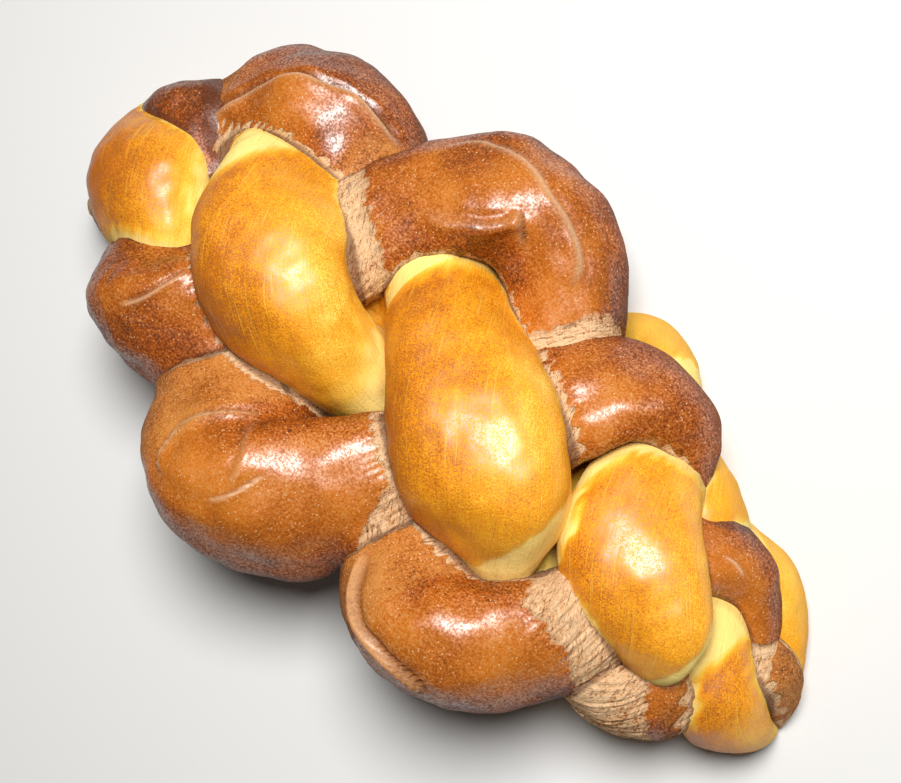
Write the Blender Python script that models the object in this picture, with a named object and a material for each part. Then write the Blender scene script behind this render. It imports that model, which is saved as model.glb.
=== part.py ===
"""Braided loaf: four ropes of dough plaited round each other and baked into one crusty body.

Two plain ropes wind one way round the loaf's length and two cocoa ropes wind the other way. A plain
rope lies outermost where it crosses the top and the underside, a cocoa rope where it crosses a side.
Seen from above, a row of slanting plain lobes runs down the middle between two rows of cocoa lobes.

The loaf lies along X with its thinner end towards +X, and rests on its flat underside at Z = 0.
"""

import math

import bmesh
import bpy
import numpy as np

MM = 0.001

# Along the loaf. A rope's place is counted in crossings: a plain rope is on the top or the underside
# at whole numbers, and a cocoa rope is on a side half way between two of them.
PITCH = 69.5 * MM  # from one crossing to the next at the fattest place
PITCH_DROP = 0.4  # share of the pitch lost at the pinched ends
FATTEST = 2.6  # where the loaf is fattest, in crossings
TO_THIN_END = 2.79  # crossings from the fattest place to the thin end
TO_THICK_END = 2.51  # crossings from the fattest place to the thick end

# Where the ropes run, measured from the middle of the loaf's section at its fattest.
PLAIN_SWAY_ABOVE = 24 * MM  # sideways swing of a plain rope over the top
PLAIN_SWAY_BELOW = 42 * MM  # and under the loaf
PLAIN_RISE = 24.5 * MM
PLAIN_DROP = 22.5 * MM
COCOA_SWAY = 49 * MM
COCOA_RISE = 7.5 * MM
COCOA_LIFT = 3 * MM  # how much higher than the middle the cocoa lobes sit on the sides

# Half widths of the ropes: swollen where they lie outermost, squeezed where they pass below another.
PLAIN_ABOVE = 28 * MM
PLAIN_BELOW = 29.5 * MM
PLAIN_SQUEEZED = 24 * MM
COCOA_SIDE = 30 * MM
COCOA_SQUEEZED = 23 * MM
ROPE_FLATNESS = 0.81  # height of a rope's section over its width
SECTION_TURN = 0.5  # how far the sections turn with the rope

PRESSED = 4 * MM  # how far the underside is pressed flat by the tray
TAPER = 2.04  # how long the loaf stays fat before it tapers
DRAW_TOGETHER = 0.64  # how sharply the ropes draw together at the ends
THINNING = 0.53  # how sharply they thin at the ends
LEAN = 2  # degrees that the whole braid leans to its right
LEAN_GROWTH = 7.8  # degrees added from the fattest place to the thin end
BOW = (0.7 * MM, 0.9 * MM, -6.2 * MM)  # sideways bow of the axis: offset, slope and curve

CRUMB_HALF_WIDTH = 34 * MM  # of the crumb that fills the middle
CRUMB_FLATNESS = 0.65
TIP = 1 * MM  # radius left at the very tips of the ropes
CRUST = 0.6 * MM  # room all round for the relief of the crust

# The loaf is plaited by hand, so its lobes sit off their even places. T lobes are on top, B below, L on
# the left and R on the right, counted from the thick end, and I is where a cocoa rope dives in under a T
# lobe. A lobe is pushed along, across and up by so many millimetres, and is fatter by a share. Its two
# ends are moved so many millimetres apart across the loaf, which turns it straight, or along the loaf,
# which makes it longer. It stays fat towards its ends by a share where it is blunter, and is fatter
# towards the thick end by a share where it is lopsided.
UNEVEN = {
    "T0": {"along": 7, "up": 10},
    "T1": {"along": -13, "across": -8, "up": -6, "fatter": 0.05, "straight": 12, "blunter": -0.15,
           "lopsided": -0.05},
    "T2": {"along": 2, "across": -2, "up": 2, "fatter": -0.05, "straight": 8, "blunter": 0.15,
           "lopsided": 0.2},
    "T3": {"along": 20, "across": 1, "up": 2, "straight": 11, "longer": 3, "blunter": -0.1},
    "T4": {"along": 15, "across": 5, "up": -2, "fatter": -0.1, "straight": 7, "longer": 2,
           "lopsided": -0.05},
    "T5": {"along": 1, "across": -14, "up": -9, "fatter": 0.05, "straight": 8, "lopsided": -0.25},
    "B0": {"along": -4, "across": 3, "up": -4},
    "B1": {"along": -2, "across": -11, "up": -2, "fatter": -0.05},
    "B2": {"along": -1, "across": -2, "up": 3, "fatter": 0.2},
    "B3": {"along": 11, "across": 40, "up": -17, "fatter": -0.5},
    "B4": {"along": -12, "across": 21, "up": 4},
    "B5": {"along": -43, "across": 55, "up": 6, "fatter": 0.45},
    "L0": {"up": -14, "fatter": -0.1},
    "L1": {"along": 3, "across": 6, "up": 8, "fatter": 0.05, "straight": -3, "longer": 1,
           "blunter": 0.05, "lopsided": 0.15},
    "L2": {"along": 3, "across": -10, "up": 6, "fatter": 0.1, "longer": 4, "lopsided": 0.15},
    "L3": {"along": 18, "across": -1, "up": 9, "fatter": -0.05, "straight": 10, "longer": 11,
           "blunter": 0.05, "lopsided": 0.15},
    "L4": {"along": 1, "across": 14, "fatter": -0.15, "straight": -1, "longer": 2},
    "L5": {"along": -9, "up": 10},
    "R0": {"along": 15, "across": -12, "up": 15, "fatter": 0.05, "straight": -5, "lopsided": -0.05},
    "R1": {"along": -9, "across": -1, "up": -14, "fatter": 0.25, "straight": -5, "longer": 6,
           "blunter": 0.15, "lopsided": -0.1},
    "R2": {"along": 15, "across": 17, "up": -3, "fatter": -0.1, "straight": -7, "longer": 12,
           "blunter": -0.05, "lopsided": 0.1},
    "R3": {"along": 15, "up": 3, "fatter": -0.3, "straight": 2, "longer": 1, "blunter": -0.05,
           "lopsided": 0.1},
    "R4": {"across": -11, "up": -7, "fatter": -0.2, "straight": 1, "lopsided": -0.05},
    "R5": {"along": -10, "across": 12, "up": 11, "fatter": 0.2, "straight": -4, "lopsided": -0.1},
    "I1": {"across": 3, "up": -2, "fatter": 0.05},
    "I2": {"across": 1, "up": 2, "fatter": -0.05},
    "I3": {"across": -1, "up": 3},
    "I4": {"across": -2, "up": 3},
}

# Fineness of the mesh.
STATIONS = 260
RING = 40
VOXEL = 2 * MM
TRIANGLES = 9400
WELD = 0.05 * MM  # corners of the cut closer than this become one

CRUST_COLOUR = (0.55, 0.24, 0.07, 1.0)


def clear_scene():
    for obj in list(bpy.data.objects):
        bpy.data.objects.remove(obj, do_unlink=True)


def places():
    """Places along a rope, in crossings from the thick end and as a share from -1 to 1, closer
    together towards the ends."""
    share = np.sin(np.linspace(-1, 1, STATIONS) * math.pi / 2)
    return FATTEST + np.where(share > 0, share * TO_THIN_END, share * TO_THICK_END), share


def lobe_place(name):
    """The kind of rope that makes a lobe, which of the two, and its crossing."""
    side, number = name[0], int(name[1:])
    if side in "TB":
        return "plain", (number + (side == "B")) % 2, number
    if side == "I":
        return "cocoa", number % 2, number
    return "cocoa", (number + (side == "L")) % 2, number + 0.5


def unevenness(kind, twin, crossing):
    """How far one rope is pushed along, across and up, and its fattening, each faded in and out round
    its lobes by the square of a cosine."""
    pushed = np.zeros((len(crossing), 3))
    fatter = np.zeros(len(crossing))
    for name, off in UNEVEN.items():
        if lobe_place(name)[:2] != (kind, twin):
            continue
        away = np.clip(crossing - lobe_place(name)[2], -1, 1)
        near = np.cos(away * math.pi / 2) ** 2
        swing = near * np.sin(math.pi * away)
        pushed += np.outer(near, [off.get(way, 0) * MM for way in ("along", "across", "up")])
        pushed[:, 0] += swing * off.get("longer", 0) * MM
        pushed[:, 1] += swing * off.get("straight", 0) * MM
        fatter += near * off.get("fatter", 0) - swing * off.get("lopsided", 0)
        fatter += 4 * near * (1 - near) * off.get("blunter", 0)
    return pushed, fatter


def rope_line(kind, twin):
    """Centre line of one rope, its half width and the direction of its outer side.

    A plain rope's angle round the loaf grows by half a turn at each crossing and a cocoa rope's
    falls by as much, and the two ropes of a kind are half a turn apart."""
    crossing, share = places()
    turned = math.pi * (crossing + twin)
    angle = math.pi / 2 + (turned if kind == "plain" else -turned)
    across, up = np.cos(angle), np.sin(angle)
    if kind == "plain":
        sway = PLAIN_SWAY_BELOW + (PLAIN_SWAY_ABOVE - PLAIN_SWAY_BELOW) * (1 + up) / 2
        side = sway * across
        rise = np.where(up > 0, PLAIN_RISE, PLAIN_DROP) * up
        swollen = np.where(up > 0, PLAIN_ABOVE, PLAIN_BELOW)
        half = swollen * up**2 + PLAIN_SQUEEZED * across**2
    else:
        side = COCOA_SWAY * across
        rise = COCOA_RISE * up + COCOA_LIFT * across**2
        half = COCOA_SIDE * across**2 + COCOA_SQUEEZED * up**2
    pushed, fatter = unevenness(kind, twin, crossing)
    side = side + pushed[:, 1]
    rise = rise + pushed[:, 2]
    fat = 1 - np.abs(share) ** TAPER
    spread, thin = fat**DRAW_TOGETHER, fat**THINNING
    lean = np.radians(LEAN + LEAN_GROWTH * share)
    middle = spread * PLAIN_DROP + thin * (PLAIN_BELOW * ROPE_FLATNESS - PRESSED)
    line = np.stack(
        [
            axis_x(crossing, share) + spread * pushed[:, 0],
            spread * (side * np.cos(lean) + rise * np.sin(lean)) + axis_y(share),
            spread * (rise * np.cos(lean) - side * np.sin(lean)) + middle,
        ],
        axis=1,
    )
    outwards = np.stack([np.zeros_like(across), across, up], axis=1)
    return line, half * (1 + fatter) * thin, outwards


def axis_x(crossing, share):
    """Distance along the loaf: the pitch summed up while it falls off with the square of share."""
    return PITCH * (crossing - FATTEST) * (1 - PITCH_DROP * share**2 / 3)


def axis_y(share):
    offset, slope, curve = BOW
    return offset + slope * share + curve * share**2


def unit(vectors):
    return vectors / np.maximum(np.linalg.norm(vectors, axis=1, keepdims=True), 1e-12)


def dot(a, b):
    return np.sum(a * b, axis=-1, keepdims=True)


def ring_directions(line, flatness, outwards):
    """From each place on a line, where an oval section's rim lies for a half width of 1.

    A section is turned only part of the way from square to the loaf to square to the rope, so that
    sections don't cross inside a bend, and it is stretched to keep the rope's true thickness."""
    along = unit(np.gradient(line, axis=0))
    square = unit(along * SECTION_TURN + np.array([1.0, 0.0, 0.0]) * (1 - SECTION_TURN))
    out = unit(outwards - square * dot(outwards, square))
    sideways = np.cross(square, out)
    turn = np.linspace(0, 2 * math.pi, RING, endpoint=False)[:, None]
    rim = out[:, None] * flatness * np.cos(turn) + sideways[:, None] * np.sin(turn)
    across_rope = rim - along[:, None] * dot(rim, along[:, None])
    length = np.linalg.norm(rim, axis=2, keepdims=True)
    return rim * length / np.maximum(np.linalg.norm(across_rope, axis=2, keepdims=True), 0.3)


def tube(line, half_width, flatness, outwards):
    """Vertices and faces of a closed tube with an oval section carried along a line."""
    points = line[:, None] + half_width[:, None, None] * ring_directions(line, flatness, outwards)
    rings = np.arange(len(line) * RING).reshape(len(line), RING)
    near, far = rings[:-1], rings[1:]
    walls = np.stack([near, np.roll(near, -1, axis=1), np.roll(far, -1, axis=1), far], axis=-1)
    caps = [rings[0][::-1].tolist(), rings[-1].tolist()]
    return points.reshape(-1, 3), walls.reshape(-1, 4).tolist() + caps


def dough():
    """Every rope and the crumb between them, as overlapping closed tubes in one mesh object."""
    points, faces = [], []

    def add(tube_points, tube_faces):
        start = sum(len(p) for p in points)
        points.append(tube_points)
        faces.extend([[start + corner for corner in face] for face in tube_faces])

    for kind in ("plain", "cocoa"):
        for twin in (0, 1):
            line, half, outwards = rope_line(kind, twin)
            add(*tube(line, half + TIP + CRUST, ROPE_FLATNESS, outwards))
    crossing, share = places()
    fat = 1 - np.abs(share) ** TAPER
    middle = PLAIN_DROP * fat**DRAW_TOGETHER
    middle = middle + (PLAIN_BELOW * ROPE_FLATNESS - PRESSED) * fat**THINNING
    line = np.stack([axis_x(crossing, share), axis_y(share), middle], axis=1)
    half = CRUMB_HALF_WIDTH * fat**DRAW_TOGETHER + TIP
    add(*tube(line, half, CRUMB_FLATNESS, np.tile([0.0, 0.0, 1.0], (len(line), 1))))
    mesh = bpy.data.meshes.new("loaf")
    mesh.from_pydata(np.concatenate(points).tolist(), [], faces)
    return mesh


def fuse(mesh):
    """The tubes grown together into one skin, then thinned out to the wanted number of triangles."""
    obj = bpy.data.objects.new("loaf", mesh)
    bpy.context.scene.collection.objects.link(obj)
    remesh = obj.modifiers.new("bake together", "REMESH")
    remesh.mode = "VOXEL"
    remesh.voxel_size = VOXEL
    soften = obj.modifiers.new("soften creases", "SMOOTH")
    soften.factor = 0.5
    soften.iterations = 3
    fused = evaluated(obj)
    keep_outer_skin(fused)
    obj.modifiers.clear()
    obj.data = fused
    thin = obj.modifiers.new("thin out", "DECIMATE")
    thin.ratio = TRIANGLES / (2 * len(fused.polygons))
    obj.data = evaluated(obj)
    obj.modifiers.clear()
    return obj


def evaluated(obj):
    graph = bpy.context.evaluated_depsgraph_get()
    return bpy.data.meshes.new_from_object(obj.evaluated_get(graph))


def keep_outer_skin(mesh):
    """Removes the walls of any hollow left between the ropes: all but the largest joined surface."""
    work = bmesh.new()
    work.from_mesh(mesh)
    left = set(work.verts)
    skins = []
    while left:
        skin, edge = set(), [left.pop()]
        while edge:
            vert = edge.pop()
            skin.add(vert)
            for other in (link.other_vert(vert) for link in vert.link_edges):
                if other in left:
                    left.remove(other)
                    edge.append(other)
        skins.append(skin)
    skins.sort(key=len)
    hollow = [vert for skin in skins[:-1] for vert in skin]
    bmesh.ops.delete(work, geom=hollow, context="VERTS")
    work.to_mesh(mesh)
    work.free()


def press_underside(obj):
    """Cuts the loaf off at the tray and closes the cut with one flat face."""
    work = bmesh.new()
    work.from_mesh(obj.data)
    everything = work.verts[:] + work.edges[:] + work.faces[:]
    bmesh.ops.bisect_plane(
        work, geom=everything, plane_co=(0, 0, 0), plane_no=(0, 0, -1), clear_outer=True
    )
    bmesh.ops.remove_doubles(work, verts=work.verts[:], dist=WELD)
    rim = [edge for edge in work.edges if edge.is_boundary]
    bmesh.ops.edgeloop_fill(work, edges=rim)
    bmesh.ops.triangulate(work, faces=work.faces[:])
    bmesh.ops.recalc_face_normals(work, faces=work.faces[:])
    work.to_mesh(obj.data)
    work.free()


def centre_on_origin(obj):
    """Moves the mesh so that the middle of its box's bottom face is the origin."""
    mesh = obj.data
    points = np.empty(len(mesh.vertices) * 3)
    mesh.vertices.foreach_get("co", points)
    points = points.reshape(-1, 3)
    low, high = points.min(axis=0), points.max(axis=0)
    points -= [(low[0] + high[0]) / 2, (low[1] + high[1]) / 2, low[2]]
    mesh.vertices.foreach_set("co", points.ravel())


def crust_material():
    material = bpy.data.materials.new("crust")
    material.use_nodes = True
    shader = material.node_tree.nodes["Principled BSDF"]
    shader.inputs["Base Color"].default_value = CRUST_COLOUR
    shader.inputs["Roughness"].default_value = 0.4
    shader.inputs["Metallic"].default_value = 0.0
    material.diffuse_color = CRUST_COLOUR
    return material


def main():
    clear_scene()
    loaf = fuse(dough())
    press_underside(loaf)
    centre_on_origin(loaf)
    loaf.data.polygons.foreach_set("use_smooth", [True] * len(loaf.data.polygons))
    loaf.data.materials.clear()
    loaf.data.materials.append(crust_material())


main()
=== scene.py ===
"""Crust, glaze and folds of a braided loaf, dressed over its solid: two plain ropes of dough wound one
way and two cocoa ropes wound the other way, baked under egg wash."""

import math

import bpy
import numpy as np
from bpy.props import FloatProperty, FloatVectorProperty, IntProperty, PointerProperty
from bpy.types import Operator, Panel, PropertyGroup
from mathutils import Matrix, Vector


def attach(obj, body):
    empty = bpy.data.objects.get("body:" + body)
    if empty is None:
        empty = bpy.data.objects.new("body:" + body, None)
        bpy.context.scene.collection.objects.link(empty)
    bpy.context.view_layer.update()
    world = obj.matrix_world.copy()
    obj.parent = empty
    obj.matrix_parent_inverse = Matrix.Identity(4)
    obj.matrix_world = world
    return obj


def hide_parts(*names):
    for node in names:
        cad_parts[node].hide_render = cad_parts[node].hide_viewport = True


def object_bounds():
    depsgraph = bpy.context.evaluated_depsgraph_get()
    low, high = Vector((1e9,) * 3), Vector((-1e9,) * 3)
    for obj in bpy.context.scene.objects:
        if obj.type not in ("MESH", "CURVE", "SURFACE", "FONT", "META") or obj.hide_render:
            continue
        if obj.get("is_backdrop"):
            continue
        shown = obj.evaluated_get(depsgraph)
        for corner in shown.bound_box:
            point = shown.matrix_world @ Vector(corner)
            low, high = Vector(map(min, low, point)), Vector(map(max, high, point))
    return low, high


bl_info = {
    "name": "Braided Loaf",
    "version": (1, 0, 0),
    "blender": (4, 5, 0),
    "location": "3D View > Sidebar > Braided Loaf",
    "description": "Makes the crust of a loaf plaited from two plain and two cocoa ropes of dough",
    "category": "Add Mesh",
}

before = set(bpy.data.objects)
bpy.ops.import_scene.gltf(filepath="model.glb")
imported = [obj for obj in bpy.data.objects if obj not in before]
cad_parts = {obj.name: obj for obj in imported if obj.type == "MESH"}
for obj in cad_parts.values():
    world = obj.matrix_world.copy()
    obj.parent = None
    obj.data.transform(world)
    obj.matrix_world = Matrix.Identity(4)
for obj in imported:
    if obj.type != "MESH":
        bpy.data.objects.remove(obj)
SOLID_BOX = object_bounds()
MM = 0.001

ROPES = (("plain", 0), ("plain", 1), ("cocoa", 0), ("cocoa", 1))
CROWDING = 0.4  # how much closer together the points on a rope's outer side are

# The loaf is plaited by hand, so its lobes sit off their even places. T lobes are on top, B below, L on
# the left and R on the right, counted from the thick end, and I is where a cocoa rope dives in under a T
# lobe. A lobe is pushed along, across and up by so many millimetres, and is fatter by a share. Its two
# ends are moved so many millimetres apart across the loaf, which turns it straight, or along the loaf,
# which makes it longer. It stays fat towards its ends by a share where it is blunter, and is fatter
# towards the thick end by a share where it is lopsided.
UNEVEN = {
    "T0": {"along": 7, "up": 10},
    "T1": {"along": -13, "across": -8, "up": -6, "fatter": 0.05, "straight": 12, "blunter": -0.15,
           "lopsided": -0.05},
    "T2": {"along": 2, "across": -2, "up": 2, "fatter": -0.05, "straight": 8, "blunter": 0.15,
           "lopsided": 0.2},
    "T3": {"along": 20, "across": 1, "up": 2, "straight": 11, "longer": 3, "blunter": -0.1},
    "T4": {"along": 15, "across": 5, "up": -2, "fatter": -0.1, "straight": 7, "longer": 2,
           "lopsided": -0.05},
    "T5": {"along": 1, "across": -14, "up": -9, "fatter": 0.05, "straight": 8, "lopsided": -0.25},
    "B0": {"along": -4, "across": 3, "up": -4},
    "B1": {"along": -2, "across": -11, "up": -2, "fatter": -0.05},
    "B2": {"along": -1, "across": -2, "up": 3, "fatter": 0.2},
    "B3": {"along": 11, "across": 40, "up": -17, "fatter": -0.5},
    "B4": {"along": -12, "across": 21, "up": 4},
    "B5": {"along": -43, "across": 55, "up": 6, "fatter": 0.45},
    "L0": {"up": -14, "fatter": -0.1},
    "L1": {"along": 3, "across": 6, "up": 8, "fatter": 0.05, "straight": -3, "longer": 1,
           "blunter": 0.05, "lopsided": 0.15},
    "L2": {"along": 3, "across": -10, "up": 6, "fatter": 0.1, "longer": 4, "lopsided": 0.15},
    "L3": {"along": 18, "across": -1, "up": 9, "fatter": -0.05, "straight": 10, "longer": 11,
           "blunter": 0.05, "lopsided": 0.15},
    "L4": {"along": 1, "across": 14, "fatter": -0.15, "straight": -1, "longer": 2},
    "L5": {"along": -9, "up": 10},
    "R0": {"along": 15, "across": -12, "up": 15, "fatter": 0.05, "straight": -5, "lopsided": -0.05},
    "R1": {"along": -9, "across": -1, "up": -14, "fatter": 0.25, "straight": -5, "longer": 6,
           "blunter": 0.15, "lopsided": -0.1},
    "R2": {"along": 15, "across": 17, "up": -3, "fatter": -0.1, "straight": -7, "longer": 12,
           "blunter": -0.05, "lopsided": 0.1},
    "R3": {"along": 15, "up": 3, "fatter": -0.3, "straight": 2, "longer": 1, "blunter": -0.05,
           "lopsided": 0.1},
    "R4": {"across": -11, "up": -7, "fatter": -0.2, "straight": 1, "lopsided": -0.05},
    "R5": {"along": -10, "across": 12, "up": 11, "fatter": 0.2, "straight": -4, "lopsided": -0.1},
    "I1": {"across": 3, "up": -2, "fatter": 0.05},
    "I2": {"across": 1, "up": 2, "fatter": -0.05},
    "I3": {"across": -1, "up": 3},
    "I4": {"across": -2, "up": 3},
}

# How far the egg wash reaches over a lobe, in crossings before and after the lobe's middle. Each end has
# three numbers: a quarter turn back round the rope, on its outer side, and a quarter turn on.
WASHED = {
    "L1": ((-0.40, -0.40, -0.40), (0.44, 0.44, 0.42)),
    "L2": ((-0.50, -0.46, -0.42), (0.33, 0.42, 0.28)),
    "L3": ((-0.40, -0.40, -0.40), (0.19, 0.34, 0.40)),
    "L4": ((0.12, 0.18, 0.30), (0.24, 0.30, 0.30)),
    "R0": ((-0.42, -0.42, -0.42), (0.75, 0.75, 0.75)),
    "R1": ((-0.54, -0.54, -0.42), (0.44, 0.44, 0.38)),
    "R2": ((-0.46, -0.41, -0.33), (0.40, 0.38, 0.26)),
    "R3": ((-0.40, -0.30, -0.22), (0.44, 0.42, 0.42)),
    "R4": ((-0.60, -0.56, -0.50), (0.44, 0.46, 0.46)),
    "T2": ((-0.44, -0.42, -0.38), (0.42, 0.55, 0.56)),
    "T3": ((-0.50, -0.48, -0.51), (0.31, 0.42, 0.44)),
    "T4": ((-0.43, -0.38, -0.28), (0.30, 0.42, 0.42)),
    "T5": ((-0.32, -0.23, -0.15), (0.42, 0.42, 0.42)),
}
WASHED_USUALLY = ((-0.42, -0.42, -0.42), (0.42, 0.42, 0.42))

# Plain lobes whose far end fades instead of ending in an edge, by how many crossings it takes.
FADING = {
    "T1": 0.16,
    "T2": 0.16,
    "T5": 0.12,
}
FADING_USUALLY = 0.03

# How far the shine reaches over a cocoa lobe, in the same way. Between the two, the crust is dull and tan.
SHINY = {
    "L2": ((-0.15, -0.30, -0.34), (0.33, 0.42, 0.32)),
    "L3": ((-0.12, -0.20, -0.26), (0.30, 0.40, 0.40)),
    "L4": ((0.02, 0.00, 0.06), (0.20, 0.22, 0.24)),
    "R1": ((-0.20, -0.30, -0.30), (0.44, 0.40, 0.22)),
    "R5": ((0.10, 0.10, 0.10), (0.20, 0.20, 0.20)),
}
SHINY_USUALLY = ((-0.50, -0.50, -0.50), (0.50, 0.50, 0.50))

# Lobes that the egg wash hardly reached, by how much of the wash they lack.
PALER = {
    "B3": 0.7,
    "B4": 0.65,
    "B5": 0.5,
}

# Cocoa lobes whose glaze runs on into the crease beside the plain ropes, by how far.
SNUG = {
    "L1": 0.5,
    "R0": 2.0,
    "R4": 2.0,
}

# Lobes whose crust is painted darker than the others, by how much: partly more browning, and on the far-end lobes
# R0, R1 and T1 painted shade, standing in for the light that falls off towards the far end.
BROWNER_AND_SHADED = {
    "L1": 0.3,
    "R0": 1.0,
    "R1": 0.35,
    "R2": 0.15,
    "R4": 0.15,
    "R5": 0.5,
    "T1": 0.5,
    "T5": 0.3,
}

# Folds and creases of the crust: the lobe, the height of the raised lip and the depth of the crease in
# millimetres, their width in millimetres, how pale the lip is (paler stretched dough, with a painted
# highlight on the ridge) and how much painted shade the crease gets, and the places that the line runs
# through, each as crossings along from the lobe's middle and degrees round the rope from its outer side.
# The lip is on the right of the line as it runs.
MARKS = (
    ("R1", 2.0, 2.8, 5.0, 0.7, 0.8, ((-0.36, 4), (-0.27, 22), (-0.12, 42), (-0.01, 59), (0.08, 66), (0.16, 73), (0.24, 74))),
    ("R2", 1.2, 0.9, 4.0, 0.55, 0.0, ((-0.3, -28), (-0.23, -12), (-0.18, 2), (-0.1, 31), (-0.03, 59), (0.07, 78), (0.16, 94), (0.2, 112))),
    ("R2", 2.6, 0.8, 4.2, 0.1, 0.1, ((-0.29, 36), (-0.23, 62), (-0.13, 84), (-0.08, 88), (-0.05, 80))),
    ("R2", 1.5, 1.4, 2.4, 0.3, 0.5, ((-0.05, 80), (-0.03, 90), (0, 104), (0.05, 124))),
    ("L2", 1.6, 1.8, 2.4, 0.9, 0.6, ((-0.08, -76), (-0.13, -89), (-0.16, -104), (-0.18, -118), (-0.18, -131), (-0.15, -146), (-0.12, -158))),
    ("L2", 0.5, 0.5, 1.4, 0.8, 0.5, ((0.05, -63), (0.09, -62), (0.13, -65), (0.16, -70))),
    ("L2", 1.2, 0.8, 3.0, 0.2, 0.2, ((0.08, -72), (0.08, -84), (0.06, -102), (0, -124), (-0.1, -150))),
    ("L3", 2.0, 2.2, 3.5, 0.5, 0.6, ((-0.3, -122), (-0.23, -108), (-0.17, -95), (-0.13, -86), (-0.09, -78), (-0.03, -64), (0.02, -46), (0.05, -28))),
    ("L1", 1.2, 1.4, 2.2, 0.7, 0.5, ((0.04, -72), (0.1, -73), (0.15, -77), (0.21, -78))),
    ("R4", 0.5, 0.4, 1.6, 0.8, 0.3, ((-0.14, 38), (-0.06, 56), (0.01, 74))),
    ("T3", 0.15, 0.1, 1.2, 0.35, 0.0, ((-0.4, -8), (-0.27, -20), (-0.14, -31), (0.08, -55))),
    ("T3", 0.2, 0.2, 1.0, 0.8, 0.3, ((0, -46), (0.04, -50), (0.06, -57), (0.1, -60))),
)


class BraidSizes(PropertyGroup):
    """Where the four ropes run."""

    pitch: FloatProperty(
        name="Pitch",
        description="Distance along the loaf from one crossing to the next, at its fattest",
        default=69.5 * MM,
        unit="LENGTH",
    )
    pitch_drop: FloatProperty(
        name="Pitch drop",
        description="Share of the pitch lost at the pinched ends",
        default=0.4,
        subtype="FACTOR",
    )
    fattest: FloatProperty(
        name="Fattest place",
        description="Where the loaf is fattest, in crossings from the thick end",
        default=2.6,
    )
    to_thin_end: FloatProperty(
        name="To the thin end",
        description="Crossings from the fattest place to the thin end",
        default=2.79,
    )
    to_thick_end: FloatProperty(
        name="To the thick end",
        description="Crossings from the fattest place to the thick end",
        default=2.51,
    )
    plain_sway_above: FloatProperty(
        name="Plain sway above",
        description="Sideways swing of a plain rope over the top",
        default=24 * MM,
        unit="LENGTH",
    )
    plain_sway_below: FloatProperty(
        name="Plain sway below",
        description="Sideways swing of a plain rope under the loaf",
        default=42 * MM,
        unit="LENGTH",
    )
    plain_rise: FloatProperty(
        name="Plain rise",
        description="Height of a plain rope over the middle where it crosses the top",
        default=24.5 * MM,
        unit="LENGTH",
    )
    plain_drop: FloatProperty(
        name="Plain drop",
        description="Depth of a plain rope under the middle where it crosses below",
        default=22.5 * MM,
        unit="LENGTH",
    )
    cocoa_sway: FloatProperty(
        name="Cocoa sway",
        description="Sideways swing of a cocoa rope",
        default=49 * MM,
        unit="LENGTH",
    )
    cocoa_rise: FloatProperty(
        name="Cocoa rise",
        description="Height of a cocoa rope over the middle where it passes under the top lobes",
        default=7.5 * MM,
        unit="LENGTH",
    )
    cocoa_lift: FloatProperty(
        name="Cocoa lift",
        description="How much higher than the middle the cocoa lobes sit on the sides",
        default=3 * MM,
        unit="LENGTH",
    )
    lean: FloatProperty(
        name="Lean",
        description="Angle by which the whole braid leans to its right",
        default=math.radians(2),
        subtype="ANGLE",
    )
    lean_growth: FloatProperty(
        name="Lean growth",
        description="Angle added from the fattest place to the thin end",
        default=math.radians(7.8),
        subtype="ANGLE",
    )
    bow: FloatVectorProperty(
        name="Bow",
        description="Sideways bow of the loaf: offset, slope and curve",
        default=(0.7 * MM, 0.9 * MM, -6.2 * MM),
        subtype="TRANSLATION",
    )


class RopeSizes(PropertyGroup):
    """How fat the ropes are, and how fine their surfaces."""

    plain_above: FloatProperty(
        name="Plain, above",
        description="Half width of a plain rope where it crosses the top",
        default=28 * MM,
        unit="LENGTH",
    )
    plain_below: FloatProperty(
        name="Plain, below",
        description="Half width of a plain rope where it crosses underneath",
        default=29.5 * MM,
        unit="LENGTH",
    )
    plain_squeezed: FloatProperty(
        name="Plain, squeezed",
        description="Half width of a plain rope where it passes below a cocoa rope",
        default=24 * MM,
        unit="LENGTH",
    )
    cocoa_side: FloatProperty(
        name="Cocoa, side",
        description="Half width of a cocoa rope where it crosses a side",
        default=30 * MM,
        unit="LENGTH",
    )
    cocoa_squeezed: FloatProperty(
        name="Cocoa, squeezed",
        description="Half width of a cocoa rope where it passes below a plain rope",
        default=23 * MM,
        unit="LENGTH",
    )
    flatness: FloatProperty(
        name="Flatness",
        description="Height of a rope's section over its width",
        default=0.81,
    )
    section_turn: FloatProperty(
        name="Section turn",
        description="How far the sections turn with the rope, so that they don't cross in a bend",
        default=0.5,
        subtype="FACTOR",
    )
    tip: FloatProperty(
        name="Tip",
        description="Radius left at the very tips of the ropes",
        default=1 * MM,
        unit="LENGTH",
    )
    pressed: FloatProperty(
        name="Pressed flat",
        description="How far the underside is pressed flat by the tray",
        default=4 * MM,
        unit="LENGTH",
    )
    taper: FloatProperty(
        name="Taper",
        description="How long the loaf stays fat before it tapers",
        default=2.04,
    )
    draw_together: FloatProperty(
        name="Draw together",
        description="How sharply the ropes draw together at the ends",
        default=0.64,
    )
    thinning: FloatProperty(
        name="Thinning",
        description="How sharply the ropes thin at the ends",
        default=0.53,
    )
    stations: IntProperty(
        name="Stations",
        description="Rings of points along each rope",
        default=620,
        min=40,
    )
    ring: IntProperty(
        name="Ring",
        description="Points round each ring",
        default=150,
        min=12,
    )


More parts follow.
